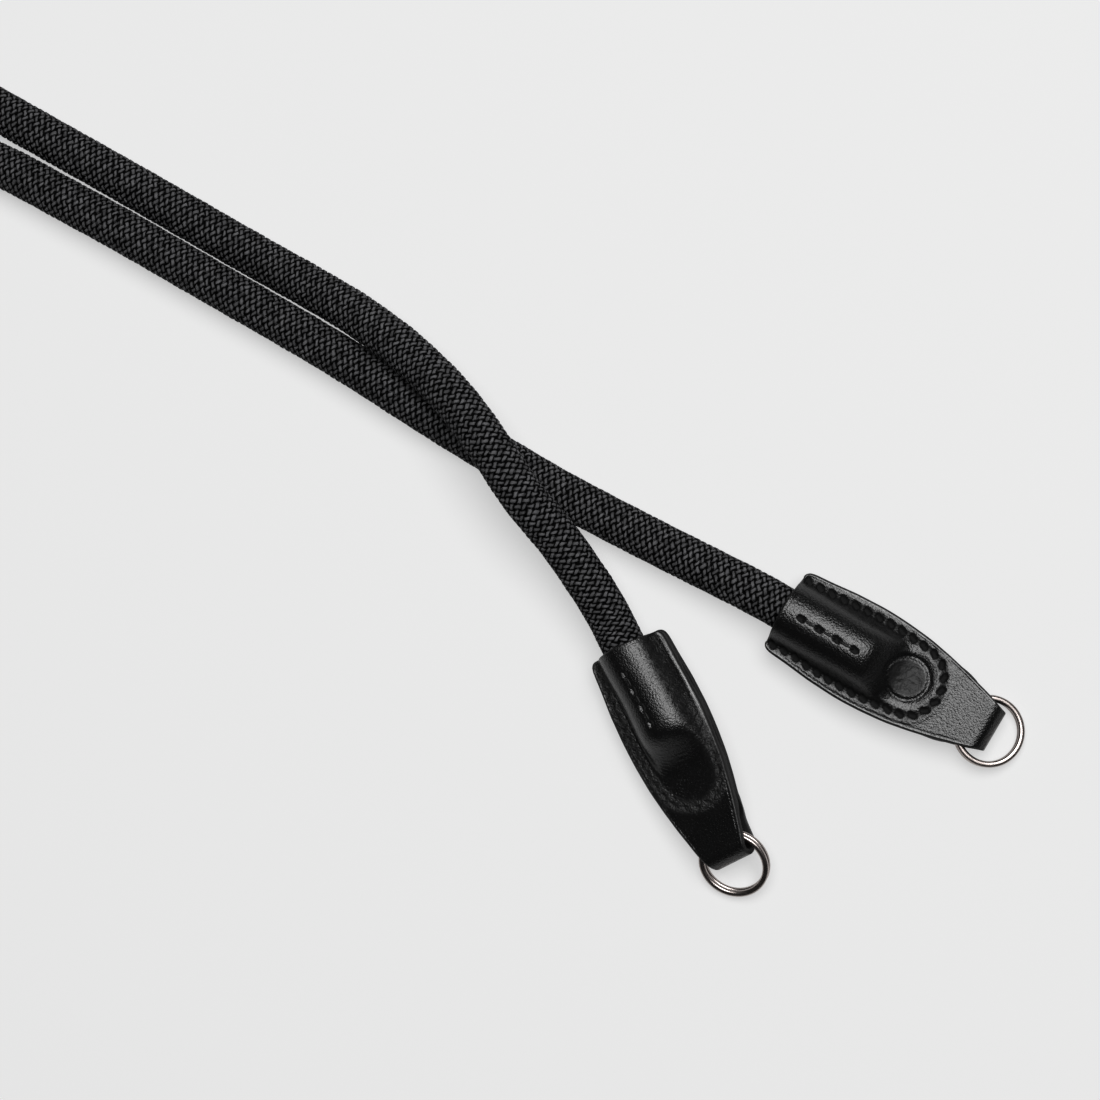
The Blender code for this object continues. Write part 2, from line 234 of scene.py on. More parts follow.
class Value:
    """A socket of a material's node, for use in sums as a number is."""

    def __init__(self, tree, socket=None):
        self.tree = tree
        self.socket = socket

    def node(self, kind, settings=None, inputs=None, output=0):
        """Adds any other node: its settings are made first, then its sockets' values."""
        made = self.tree.nodes.new(kind)
        for name, value in (settings or {}).items():
            setattr(made, name, value)
        self.feed(made, inputs or {})
        return Value(self.tree, made.outputs[output])

    def feed(self, made, inputs):
        """Links or sets each named socket of a node."""
        for name, value in inputs.items():
            socket = made.inputs[name]
            if isinstance(value, Value):
                self.tree.links.new(value.socket, socket)
            elif isinstance(value, (tuple, list)) and socket.type == "RGBA":
                socket.default_value = (*value[:3], 1.0)
            else:
                socket.default_value = value

    def sum(self, operation, *values):
        return self.node("ShaderNodeMath", {"operation": operation}, dict(enumerate(values)))

    def __add__(self, other):
        return self.sum("ADD", self, other)

    def __radd__(self, other):
        return self.sum("ADD", other, self)

    def __sub__(self, other):
        return self.sum("SUBTRACT", self, other)

    def __rsub__(self, other):
        return self.sum("SUBTRACT", other, self)

    def __mul__(self, other):
        return self.sum("MULTIPLY", self, other)

    def __rmul__(self, other):
        return self.sum("MULTIPLY", other, self)

    def __pow__(self, other):
        return self.sum("POWER", self, other)

    def cosine(self):
        return self.sum("COSINE", self)

    def held(self):
        """The value, kept between 0 and 1."""
        return self.node("ShaderNodeClamp", None, {0: self})

    def blend(self, low, high):
        """A colour that runs from low, where this is 0, to high, where it is 1."""
        settings = {"data_type": "RGBA"}
        return self.node("ShaderNodeMix", settings, {0: self, 6: low, 7: high}, 2)


def new_material(name, roughness, metallic=0.0, specular=0.5):
    """An empty material: the value to build on, and its shader."""
    made = bpy.data.materials.new(name)
    made.use_nodes = True
    shader = made.node_tree.nodes["Principled BSDF"]
    shader.inputs["Roughness"].default_value = roughness
    shader.inputs["Metallic"].default_value = metallic
    shader.inputs["Specular IOR Level"].default_value = specular
    return made, Value(made.node_tree), shader


def place_of(start):
    return start.node("ShaderNodeTexCoord", None, None, "Object")


def mask_of(start, name):
    return start.node("ShaderNodeAttribute", {"attribute_name": name}, None, "Fac")


def noise(start, place, blob, detail=2.0, roughness=0.5):
    """Soft noise whose blobs are about as wide as the given metres."""
    inputs = {"Vector": place, "Scale": 1.0 / blob, "Detail": detail, "Roughness": roughness}
    return start.node("ShaderNodeTexNoise", None, inputs)


def bump(start, height, distance, strength=1.0, over=None):
    """Bump of a depth in metres, on top of another bump where one is given."""
    inputs = {"Height": height, "Distance": distance, "Strength": strength}
    if over is not None:
        inputs["Normal"] = over
    return start.node("ShaderNodeBump", None, inputs)


YARNS_ACROSS = 2.5  # yarns side by side in one strand
# Half the length and half the width of a bead, in shares of the strands' spacing.
BEAD_LENGTH = 0.60
BEAD_WIDTH = 0.37


def bead(along, across):
    """1 in the middle of a strand where it lies on top, and 0 where its bead ends."""
    long_part = (along * (1 / BEAD_LENGTH)) ** 2
    wide_part = (across * (1 / BEAD_WIDTH)) ** 2
    return (1.0 - long_part * long_part - wide_part).held()


def braid_material(settings):
    """Strands whose beads are longer than their crossing, so they reach between others."""
    made, start, shader = new_material("braided rope", 0.62, 0.0, 0.06)
    strand = start.node("ShaderNodeUVMap", {"uv_map": "strand"}, None, 0)
    whole = start.node("ShaderNodeSeparateXYZ", None, {0: strand}, 0)
    uneven = noise(start, place_of(start), 0.0011, 1.0) - 0.5
    along = whole.sum("WRAP", whole, 0.5, -0.5) + 0.6 * uneven
    across = start.node("ShaderNodeSeparateXYZ", None, {0: strand}, 1) + 0.45 * uneven
    neighbour = 1.0 - across.sum("ABSOLUTE", across)
    mask = along.sum("MAXIMUM", bead(along, across), bead(neighbour, along))
    yarns = 0.5 - 0.5 * (across * (2 * math.pi * YARNS_ACROSS)).cosine()
    stretched = start.node(
        "ShaderNodeMapping", None, {"Vector": strand, "Scale": (1.4, 13.0, 1.0)})
    fibres = start.node(
        "ShaderNodeTexNoise", None,
        {"Vector": stretched, "Scale": 1.0, "Detail": 3.0, "Roughness": 0.6})
    patchy = noise(start, place_of(start), 0.0019, 1.0)
    # Painted shade: the bead mask and the yarns darken the colour towards the groove colour in the
    # gaps round the beads and between the yarns; fibres and patches vary the tone at random.
    shade = (mask ** 1.3) * (0.5 + 0.4 * yarns + 0.5 * fibres) * (0.1 + 1.7 * patchy)
    colour_with_painted_shade = shade.held().blend(tuple(settings.groove), tuple(settings.crest))
    height = mask + yarns * 0.2 + fibres * 0.2
    start.feed(shader, {
        "Base Color": colour_with_painted_shade,
        "Roughness": 0.72 - 0.16 * fibres,
        "Normal": bump(start, height, 0.00028),
    })
    return made


def leather_material(settings):
    """Polished leather: dull in holes and on cut edges, with a waxed line along the edges."""
    made, start, shader = new_material("black leather", 0.36, 0.0, 0.8)
    place = place_of(start)
    edge, dent, near, line = (mask_of(start, name) for name in ("edge", "dent", "near", "line"))
    pebbles = start.node(
        "ShaderNodeTexVoronoi", {"feature": "SMOOTH_F1"},
        {"Vector": place, "Scale": 1.0 / settings.grain, "Smoothness": 0.5})
    fine = noise(start, place, 0.00022, 2.0)
    broad = noise(start, place, 0.0042, 2.0)
    puckers = noise(start, place, 0.0008, 3.0, 0.7)
    grain = ((1.0 - pebbles) * 0.8 + fine * 0.8) * (1.0 - 0.8 * edge)
    grained = bump(start, grain, 0.00012, 0.68)
    start.feed(shader, {
        "Base Color": edge.blend(tuple(settings.face), tuple(settings.edge)),
        "Roughness": 0.17 + 0.08 * broad + 0.14 * fine + 0.45 * edge + 0.75 * dent + 0.2 * near,
        "Coat Roughness": 0.32,
        "Coat Weight": line,
        "Normal": bump(start, puckers * near, 0.0004, 1.0, grained),
    })
    return made


def thread_material(settings):
    made, start, shader = new_material("waxed thread", 0.5, 0.0, 0.4)
    twist = noise(start, place_of(start), 0.00022, 1.0)
    # The twist noise varies the thread's tone at random and also makes its bump, so the colour is
    # darker where the bump is low: painted shade in its hollows.
    shade = (0.3 + 0.9 * twist).held()
    colour_with_painted_shade = shade.blend((0.002, 0.002, 0.002), tuple(settings.thread_colour))
    start.feed(shader, {"Base Color": colour_with_painted_shade, "Normal": bump(start, twist, 0.00008, 0.7)})
    return made


def ring_material(settings):
    made, start, shader = new_material("plated steel", 0.16, 1.0)
    place = place_of(start)
    smear = noise(start, place, 0.0024, 3.0)
    scratch = noise(start, place, 0.00025, 2.0)
    tint = (0.75 + 0.5 * (smear - 0.5)).held()
    dark = tuple(0.55 * c for c in settings.metal)
    start.feed(shader, {
        "Base Color": tint.blend(dark, tuple(settings.metal)),
        "Roughness": 0.2 + 0.14 * smear + 0.06 * scratch,
        "Normal": bump(start, scratch, 0.00001, 0.35),
    })
    return made


def surface_material(settings):
    made, start, shader = new_material("pale surface", 0.9, 0.0, 0.2)
    speck = noise(start, place_of(start), 0.004, 2.0)
    low = tuple(0.995 * c for c in settings.surface)
    start.feed(shader, {
        "Base Color": speck.blend(low, tuple(settings.surface)),
        "Emission Color": (1.0, 1.0, 1.0),
        "Emission Strength": settings.glow,
    })
    return made


# --- Making and declaring pieces ---


def deselect():
    """Leaves nothing selected, so that the next operator acts on new pieces only."""
    if bpy.context.object and bpy.context.object.mode != "OBJECT":
        bpy.ops.object.mode_set(mode="OBJECT")
    bpy.ops.object.select_all(action="DESELECT")


def new_object(name, data):
    made = bpy.data.objects.new(name, data)
    bpy.context.collection.objects.link(made)
    return made


def declare(piece, material):
    """Gives a piece its finish and lets it ride with the strap."""
    if material.name not in piece.data.materials:
        piece.data.materials.clear()
        piece.data.materials.append(material)
    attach(piece, BODY)
    return piece


def mesh_piece(name, points, faces, masks=None, loops_uv=None):
    """A smooth piece from arrays: points in metres, faces, point masks and a UV map."""
    mesh = bpy.data.meshes.new(name)
    points = np.asarray(points, float)
    mesh.vertices.add(len(points))
    mesh.vertices.foreach_set("co", points.ravel())
    sizes = np.array([len(face) for face in faces])
    corners = np.concatenate([np.asarray(face) for face in faces])
    mesh.loops.add(len(corners))
    mesh.loops.foreach_set("vertex_index", corners.astype(np.int32))
    mesh.polygons.add(len(sizes))
    starts = np.concatenate([[0], np.cumsum(sizes)[:-1]])
    mesh.polygons.foreach_set("loop_start", starts.astype(np.int32))
    mesh.polygons.foreach_set("use_smooth", np.ones(len(sizes), bool))
    for mask, values in (masks or {}).items():
        mesh.attributes.new(mask, "FLOAT", "POINT").data.foreach_set(
            "value", np.asarray(values, np.float32).ravel())
    if loops_uv is not None:
        mesh.uv_layers.new(name="strand").data.foreach_set(
            "uv", np.asarray(loops_uv, np.float32).ravel())
    mesh.update(calc_edges=True)
    mesh.validate()
    outward = bmesh.new()
    outward.from_mesh(mesh)
    bmesh.ops.recalc_face_normals(outward, faces=outward.faces)
    outward.to_mesh(mesh)
    outward.free()
    return new_object(name, mesh)


def turned_by(points, heading, fall, roll=0.0):
    """Points turned by three angles in degrees: first roll, then fall, then heading."""
    turns = [
        Matrix.Rotation(math.radians(angle), 3, axis)
        for angle, axis in ((heading, "Z"), (fall, "Y"), (roll, "X"))
    ]
    return points @ np.array(turns[0] @ turns[1] @ turns[2]).T


def to_frame(points):
    """From the tables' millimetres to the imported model's metres."""
    return (np.asarray(points) - ORIGIN) * MM


# --- Rope ---


def smooth_line(points, step):
    """Points at even steps on a centripetal Catmull-Rom curve through the given ones."""
    given = [np.array(p, float) for p in points]
    line = [2 * given[0] - given[1]] + given + [2 * given[-1] - given[-2]]
    dense = []
    for a, b, c, d in zip(line, line[1:], line[2:], line[3:]):
        knots = [0.0]
        for p, q in ((a, b), (b, c), (c, d)):
            knots.append(knots[-1] + math.sqrt(np.linalg.norm(q - p)))
        t0, t1, t2, t3 = knots
        for k in range(SAMPLES_PER_LEG):
            t = t1 + (t2 - t1) * k / SAMPLES_PER_LEG
            ab, bc, cd = mixed(a, b, t0, t1, t), mixed(b, c, t1, t2, t), mixed(c, d, t2, t3, t)
            abc, bcd = mixed(ab, bc, t0, t2, t), mixed(bc, cd, t1, t3, t)
            dense.append(mixed(abc, bcd, t1, t2, t))
    dense.append(given[-1])
    dense = np.array(dense)
    lengths = arc_lengths(dense)
    at = np.linspace(0.0, lengths[-1], round(lengths[-1] / step) + 1)
    return read_at(at, lengths, dense)


def mixed(p, q, at_p, at_q, t):
    return p * ((at_q - t) / (at_q - at_p)) + q * ((t - at_p) / (at_q - at_p))


def read_at(at, lengths, rows):
    """Rows of numbers that belong to lengths along a line, read at other lengths."""
    return np.stack([np.interp(at, lengths, column) for column in rows.T], axis=-1)


def arc_lengths(line):
    return np.concatenate([[0.0], np.cumsum(np.linalg.norm(np.diff(line, axis=0), axis=1))])


def unit(vectors):
    return vectors / np.linalg.norm(vectors, axis=-1, keepdims=True)


def carried_frames(line):
    """For each point of a line, two directions across it that don't twist along it."""
    along = unit(np.gradient(line, axis=0))
    side = np.zeros_like(line)
    side[0] = unit(np.cross([0.0, 0.0, 1.0], along[0]))
    for k in range(1, len(line)):
        kept = side[k - 1] - along[k] * (side[k - 1] @ along[k])
        side[k] = kept / np.linalg.norm(kept)
    return side, np.cross(along, side)


def rope_line(step):
    """The rope's axis in metres, never lower than the surface lets it lie."""
    line = smooth_line(ROUTE, step)
    line[:, 2] = np.maximum(line[:, 2], LYING_HEIGHT)
    return to_frame(line)


CORE_SINK = 1.3  # how far the core lies under the crests, in depths of a groove
CORE_GAP = 0.1


def make_core(settings):
    """The rope's core, hidden under the braided cover."""
    line = rope_line(ROPE_STEP / 2)
    curve = bpy.data.curves.new("rope_core", "CURVE")
    curve.dimensions = "3D"
    curve.bevel_depth = settings.diameter / 2 - CORE_SINK * settings.depth - CORE_GAP * MM
    curve.bevel_resolution = 3
    curve.use_fill_caps = True
    spline = curve.splines.new("POLY")
    spline.points.add(len(line) - 1)
    for point, place in zip(spline.points, line):
        point.co = (*place, 1.0)
    return new_object("rope_core", curve)


BRAID_PIECES = 4
# Places of the lattice's points from a strand's middle, in shares of the strands' spacing.
# A strand on top is as wide as these places reach, and longer by the same gap at each end.
BEAD_STEPS = np.array([-0.42, -0.2, 0.2, 0.42])
N = len(BEAD_STEPS)
BRAID_STEP = 0.25  # between the read points of the rope's axis
STRAND_REACH = 0.56  # half a strand's arch on top, in shares of the spacing
UNEVEN_HEIGHT = 0.03
UNEVEN_TURN = 0.02


def braid_height(i, j, settings):
    """Height of the braid at a lattice point.

    One family of strands runs along i and the other along j, and they take turns on top.
    """
    cell_i, cell_j = i // N, j // N
    off_i, off_j = BEAD_STEPS[i % N], BEAD_STEPS[j % N]
    first_on_top = (cell_i - cell_j) % 2 == 0
    along = np.where(first_on_top, off_i, off_j)
    across = np.where(first_on_top, off_j, off_i)
    uneven = np.sin(12.9 * cell_i + 7.3 * cell_j) + np.sin(4.1 * cell_i - 9.7 * cell_j)
    arch = settings.arch * np.cos(math.pi * along / (2 * STRAND_REACH))
    on_top = arch + UNEVEN_HEIGHT * MM * uneven
    in_groove = np.abs(across) > 0.3
    below = settings.arch - settings.depth * (1 + 0.15 * (np.abs(along) > 0.3))
    return np.where(in_groove, below, on_top)


def make_braid(settings):
    """The braided cover of 24 strands, which cross over and under one another by turns.

    Its points lie on a slanted lattice that runs along both families of strands. Column a
    of it goes along the rope and row r zigzags round the rope.
    """
    line = rope_line(BRAID_STEP)
    lengths = arc_lengths(line)
    side, up = carried_frames(line)
    rows = int(lengths[-1] / settings.period) * N
    around = settings.carriers * N
    r, a = np.meshgrid(np.arange(rows + 1), np.arange(around), indexing="ij")
    b = 2 * r + a % 2
    i, j = (b + a) // 2, (b - a) // 2
    p = i // N + BEAD_STEPS[i % N]
    q = j // N + BEAD_STEPS[j % N]
    at = np.clip((p + q + 1) / 2 * settings.period, 0.0, lengths[-1])
    angle = 2 * math.pi * (p - q) / settings.carriers + settings.twist * at
    radius = settings.diameter / 2 - settings.arch + braid_height(i, j, settings)
    angle = angle + UNEVEN_TURN * np.sin(5.1 * (i // N) + 3.3 * (j // N))
    centre, sides, ups = (read_at(at, lengths, each) for each in (line, side, up))
    out = np.cos(angle)[..., None] * sides + np.sin(angle)[..., None] * ups
    points = centre + radius[..., None] * out
    return [braid_piece(f"rope_cover_{n + 1}", points, n) for n in range(BRAID_PIECES)]


def braid_piece(name, points, place):
    """One length of the cover, closed at both ends."""
    rows, around = points.shape[0] - 1, points.shape[1]
    first = rows * place // BRAID_PIECES
    last = rows * (place + 1) // BRAID_PIECES
    count = last - first + 1
    caps = [points[first].mean(axis=0), points[last].mean(axis=0)]
    own = np.vstack([points[first:last + 1].reshape(-1, 3), caps])
    r, a = np.meshgrid(np.arange(count - 1), np.arange(around), indexing="ij")
    odd = a % 2
    after, before = (a + 1) % around, (a - 1) % around
    quads = np.stack([
        (r + odd) * around + after, (r + 1) * around + a,
        (r + odd) * around + before, r * around + a,
    ], axis=-1).reshape(-1, 4)
    b = 2 * (r + first) + odd
    uv = strand_places((b + a) // 2, (b - a) // 2)
    ring = np.arange(around)
    follow = (ring + 1) % around
    low = np.stack([np.full(around, count * around), follow, ring], -1)
    high_row = (count - 1) * around
    high = np.stack([np.full(around, count * around + 1), high_row + ring, high_row + follow], -1)
    faces = [tuple(quad) for quad in quads.tolist()]
    faces += [tuple(corners) for corners in np.concatenate([low, high]).tolist()]
    uv = np.concatenate([uv.reshape(-1, 2), np.zeros((6 * around, 2))])
    return mesh_piece(name, own, faces, loops_uv=uv)


def strand_places(i, j):
    """For the corners of each quad, the place along its strand and across it."""
    cell_i, cell_j = i // N, j // N
    steps = np.append(BEAD_STEPS, 1 + BEAD_STEPS[0])
    corners = []
    for step_i, step_j in ((1, 0), (1, 1), (0, 1), (0, 0)):
        off_i, off_j = steps[i % N + step_i], steps[j % N + step_j]
        first_on_top = (cell_i - cell_j) % 2 == 0
        along = np.where(first_on_top, off_i, off_j) + 3 * cell_i + 5 * cell_j
        across = np.where(first_on_top, off_j, off_i)
        corners.append(np.stack([along, across], -1))
    return np.stack(corners, axis=2)


# --- Leather ends ---


def eased(value, start, stop):
    """0 up to start, 1 from stop, and a smooth change between them."""
    share = np.clip((np.asarray(value, float) - start) / (stop - start), 0.0, 1.0)
    return share * share * (3 - 2 * share)


def softened(values, xs, ys, reach):
    """A table read with its corners rounded over the given reach."""
    weights = ((-1.0, 1), (-0.5, 2), (0.0, 3), (0.5, 2), (1.0, 1))
    return sum(w * np.interp(values + k * reach, xs, ys) for k, w in weights) / 9


ALONG = np.array([s.along for s in STATIONS])
HALF_WIDTH = np.array([s.half_width for s in STATIONS])
OVER_ROPE = np.array([s.over_rope for s in STATIONS])
ACROSS = np.array([r.across for r in RIBS])
EDGE_STRIP = 0.5  # flat, between the bulge's foot and the edge
CORNER = 1.1  # how far the mouth's corners are rounded
FOLD_PATH = 10.0  # the length of the outer face round the fold
TURN_IN = END_LENGTH - FOLD_ROUND  # where the fold starts

# The front's section over the rope, finer than the table: round up to its foot.
FINE_ACROSS = np.linspace(0.0, 8.4, 85)
FOOT = 6.4


def fine_front(power):
    """Round for power 2, and fuller at its shoulders for more."""
    share = np.clip(1 - (FINE_ACROSS / SLEEVE_RADIUS) ** power, 0.0, 1.0)
    rise = (SLEEVE_RADIUS * share ** (1 / power) + ROPE_ABOVE_SEAM - LEATHER) / FRONT_RISE
    foot = np.interp(FINE_ACROSS, ACROSS, [r.front for r in RIBS])
    return np.where(FINE_ACROSS < FOOT, rise, foot)


# How the bulge over the rope differs from the table's: how far it lies to the left of the
# end's axis by the rope's end, its two widths by the mouth and by the rope's end as shares,
# and the powers of its two flanks.
Bulge = namedtuple("Bulge", "aside right right_end left left_end right_power left_power")
BULGES = {
    "left": Bulge(0.0, 1.0, 1.0, 1.0, 1.0, 2.0, 2.0),
    "right": Bulge(1.0, 0.9, 0.94, 1.06, 1.12, 2.0, 2.4),
}
BULGE_CHANGE = 14.0  # how far from the mouth it changes


def bulge_share(bulge, along, off_axis):
    """How far the front rises over the rope, as a share of its rise on the axis."""
    near_end = eased(along, 0.0, BULGE_CHANGE)[:, None]
    aside = off_axis - bulge.aside * near_end
    left = bulge.left + (bulge.left_end - bulge.left) * near_end
    right = bulge.right + (bulge.right_end - bulge.right) * near_end
    return np.where(
        aside > 0,
        softened(aside / left, FINE_ACROSS, fine_front(bulge.left_power), 0.2),
        softened(-aside / right, FINE_ACROSS, fine_front(bulge.right_power), 0.2),
    )


def half_width(end, along):
    """Half the width, with the mouth's corners rounded."""
    width = softened(along, ALONG, HALF_WIDTH, 1.2) * end.width
    into = np.clip(1 - along / CORNER, 0.0, 1.0)
    return width - CORNER * 0.75 * (1 - np.sqrt(1 - into**2))


def half_height(end, along):
    """From the seam plane to the outer face, outside the rope."""
    open_eye = eased(along, EYE_START, EYE_OPEN)
    return LEATHER + (FOLD_LEATHER - LEATHER + end.eye / 2) * open_eye


def layer(along):
    """The leather's thickness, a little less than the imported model's."""
    return LEATHER - 0.04 + (FOLD_LEATHER - LEATHER) * eased(along, EYE_START, EYE_OPEN - 1.5)


def outer_face(end, path, across_share):
    """The folded strip's outer face, from the front's mouth round the fold to the back's.

    Gives its points, and how far along the end each row of them lies.
    """
    front = path <= TURN_IN
    turning = (path > TURN_IN) & (path < TURN_IN + FOLD_PATH)
    angle = np.clip((path - TURN_IN) / FOLD_PATH, 0.0, 1.0) * math.pi
    in_fold = TURN_IN + FOLD_ROUND * np.sin(angle)
    along = np.where(front, path, np.where(turning, in_fold, 2 * TURN_IN + FOLD_PATH - path))
    side = np.where(front, 1.0, np.where(turning, np.cos(angle), -1.0))
    width = half_width(end, along)[:, None]
    across = width * across_share[None, :]
    drawn_in = eased(along, EYE_START, EYE_OPEN) * (1 - eased(along, EYE_OPEN, END_LENGTH))
    drawn_in = end.drawn_in * drawn_in * (side < 0)
    across = across - drawn_in[:, None] * eased(across_share, 0.6, 1.0)[None, :]
    squeeze = np.minimum(1.0, (width - EDGE_STRIP) / ACROSS[-1])
    off_axis = across / squeeze
    front_rise = FRONT_RISE * bulge_share(BULGES[end.name], along, off_axis)
    back_share = softened(np.abs(off_axis), ACROSS, [r.back for r in RIBS], 0.45)
    drop = BACK_DROP + along[:, None] * math.tan(math.radians(-end.fall))
    over = softened(along, ALONG, OVER_ROPE, 1.5)[:, None]
    raised = np.where(side[:, None] >= 0, front_rise, -drop * back_share) * over
    level = half_height(end, np.minimum(along, TURN_IN)) * side
    height = level[:, None] + raised - ROPE_ABOVE_SEAM
    rows = np.broadcast_to(along[:, None], across.shape)
    return np.stack([rows, across, height], axis=-1), along


def grid_normals(points):
    along = np.gradient(points, axis=0)
    across = np.gradient(points, axis=1)
    return unit(np.cross(along, across))


def lay(end, points):
    """Lowers the eye, twists and places points given in a leather end's own frame."""
    points = np.array(points, float)
    x, y, z = points[..., 0], points[..., 1], points[..., 2]
    z = z - (FOLD_LEATHER + end.eye / 2 - LEATHER) * eased(x, EYE_START, EYE_OPEN)
    share = np.clip(x / ROPE_IN_END, 0.0, 1.0)
    roll = np.radians(end.roll_mouth + (end.roll_tip - end.roll_mouth) * share)
    low, high = y * np.cos(roll) - z * np.sin(roll), y * np.sin(roll) + z * np.cos(roll)
    turned = np.stack([x, low, high], -1)
    return to_frame(turned_by(turned, end.heading, end.fall) + np.array(end.mouth))


def seam_places(points, count):
    """Even places on a smooth line through a seam's points, and the seam's direction there."""
    line = smooth_line([(p.along, p.across, 0.0) for p in points], 0.1)
    lengths = arc_lengths(line)
    at = np.linspace(0.0, lengths[-1], count)
    ahead = np.gradient(line, axis=0)
    return read_at(at, lengths, line[:, :2]), unit(read_at(at, lengths, ahead[:, :2]))


STITCH_SLANT = math.radians(-30)
# A hole in which a stitch ends: its size, and how far it is turned from the seam.
Pit = namedtuple("Pit", "length width slant")
EDGE_PIT = Pit(1.75, 1.0, STITCH_SLANT)
BACK_PIT = Pit(1.7, 0.9, -STITCH_SLANT)
CROWN_PIT = Pit(1.6, 1.05, math.radians(-8))


def pits(flat, places, heading, pit):
    """How deep each point of the leather lies in the nearest stitch's pit, 0 to 1."""
    deep = np.zeros(flat.shape[:-1])
    for place, ahead in zip(places, heading):
        angle = math.atan2(ahead[1], ahead[0]) + pit.slant
        off = flat - place
        u = off[..., 0] * math.cos(angle) + off[..., 1] * math.sin(angle)
        v = -off[..., 0] * math.sin(angle) + off[..., 1] * math.cos(angle)
        inside = (2 * u / pit.length) ** 4 + np.abs(2 * v / pit.width) ** 3
        deep = np.maximum(deep, np.exp(-inside))
    return deep


def along_seam(flat, points):
    """Distance of each point of the leather from a seam's line."""
    line = smooth_line([(p.along, p.across, 0.0) for p in points], 0.8)[:, :2]
    nearest = np.full(flat.shape[:-1], 1e9)
    for a, b in zip(line, line[1:]):
        leg = b - a
        share = np.clip(((flat - a) @ leg) / (leg @ leg), 0.0, 1.0)
        nearest = np.minimum(nearest, np.linalg.norm(flat - a - share[..., None] * leg, axis=-1))
    return nearest


def ridge(off, middle, width):
    """1 at a distance of middle, falling off softly on both sides."""
    return np.exp(-(((off - middle) / width) ** 2))


# The leather dips along a seam, rises in a puff beside it, and puckers near it.
VALLEY_DEPTH, VALLEY_WIDTH = 0.22, 0.5
PUFF_HEIGHT, PUFF_PLACE, PUFF_WIDTH = 0.1, 1.35, 0.55
PUCKER_HEIGHT, PUCKER_START, PUCKER_REACH = 0.13, 0.3, 1.1
CROWN_DEPTH, CROWN_WIDTH = 0.14, 0.62
VALLEY_DULL = 0.3
STAMP_DULL = 0.4


def relief_of_front(end, flat):
    """Height of the sewn, stamped and creased front above its smooth form, in mm.

    Also gives how dull each point is, and how near it is to a seam.
    """
    seams = SEAMS[end.name]
    places, heading = seam_places(seams.edge, EDGE_STITCHES)
    hole = pits(flat, places, heading, EDGE_PIT)
    off_seam = along_seam(flat, seams.edge)
    valley, puff = ridge(off_seam, 0.0, VALLEY_WIDTH), ridge(off_seam, PUFF_PLACE, PUFF_WIDTH)
    crown_hole, crown_valley = crown_seam(flat, crown_places(seams))
    near = ridge(np.maximum(off_seam - PUCKER_START, 0.0), 0.0, PUCKER_REACH) * seams.pucker
    dull = np.maximum(np.maximum(hole, crown_hole), VALLEY_DULL * valley) * seams.dull
    height = (PUFF_HEIGHT * puff - VALLEY_DEPTH * valley) * seams.puff
    height = height - seams.hole_depth * (hole + crown_hole) - CROWN_DEPTH * crown_valley
    height = height + PUCKER_HEIGHT * near * lumps(flat)
    if end.name == "left":
        relief, field = stamp_relief(flat)
        dull = np.maximum(dull, STAMP_DULL * field)
    else:
        relief = creases(flat)
    return height + relief, dull, near


def crown_seam(flat, places):
    """The holes of the crown's seam, and the valley between them, 0 to 1."""
    first, last = places[0], places[-1]
    slope = (last[1] - first[1]) / (last[0] - first[0])
    hole = pits(flat, places, [(1.0, slope)] * len(places), CROWN_PIT)
    off_line = flat[..., 1] - first[1] - slope * (flat[..., 0] - first[0])
    span = eased(flat[..., 0], first[0] - 0.5, first[0] + 0.5)
    span = span * (1 - eased(flat[..., 0], last[0] - 0.5, last[0] + 0.5))
    return hole, ridge(off_line, 0.0, CROWN_WIDTH) * span


def lumps(flat):
    """Uneven lumps about half a millimetre wide, -1 to 1."""
    s, t = flat[..., 0], flat[..., 1]
    one = np.sin(6.3 * s + 2.1 * np.sin(2.9 * t)) * np.sin(5.7 * t + 1.9 * np.sin(3.3 * s))
    other = np.sin(9.1 * s - 4.3 * t + 1.4 * np.sin(4.1 * t)) * np.sin(3.9 * s + 7.7 * t)
    return 0.6 * one + 0.4 * other


def crown_places(seams):
    """The holes of the short seam along the crown over the rope."""
    first, last = np.array(seams.crown_from), np.array(seams.crown_to)
    return [first + (last - first) * k / CROWN_STITCHES for k in range(CROWN_STITCHES + 1)]


GROOVE_RADIUS = 4.65
FIELD_RADIUS = 4.2
GROOVE_DEPTH, FIELD_DEPTH, ROSETTE_DEPTH = 0.36, 0.12, 0.11
PETALS = 5
PETAL_RADIUS = 2.1  # of the rosette's line, in the middle
PETAL_SWING = 0.65


def stamp_relief(flat):
    """A plain round stamp: a pressed ring, and a pressed field with a small rosette.

    Gives its height, and how far each point lies in the field, 0 to 1.
    """
    off = flat - np.array([STAMP.along, STAMP.across])
    r = np.linalg.norm(off, axis=-1)
    angle = PETALS * np.arctan2(off[..., 1], off[..., 0])
    field = 1 - eased(r, FIELD_RADIUS - 0.8, FIELD_RADIUS)
    lean = PETAL_SWING * PETALS * np.sin(angle) / np.maximum(r, 1.0)
    off_line = (r - PETAL_RADIUS - PETAL_SWING * np.cos(angle)) / np.sqrt(1 + lean**2)
    rosette = ridge(off_line, 0.0, 0.55) * field
    groove = ridge(r, GROOVE_RADIUS, 0.6)
    return -GROOVE_DEPTH * groove - FIELD_DEPTH * field - ROSETTE_DEPTH * rosette, field


CREASE_DEPTH = 0.065
CREASE_SPACING = 0.95
CREASE_BEND = 0.055  # of the creases' arcs, whose middle is at CREASE_MIDDLE across
CREASE_MIDDLE = 3.0


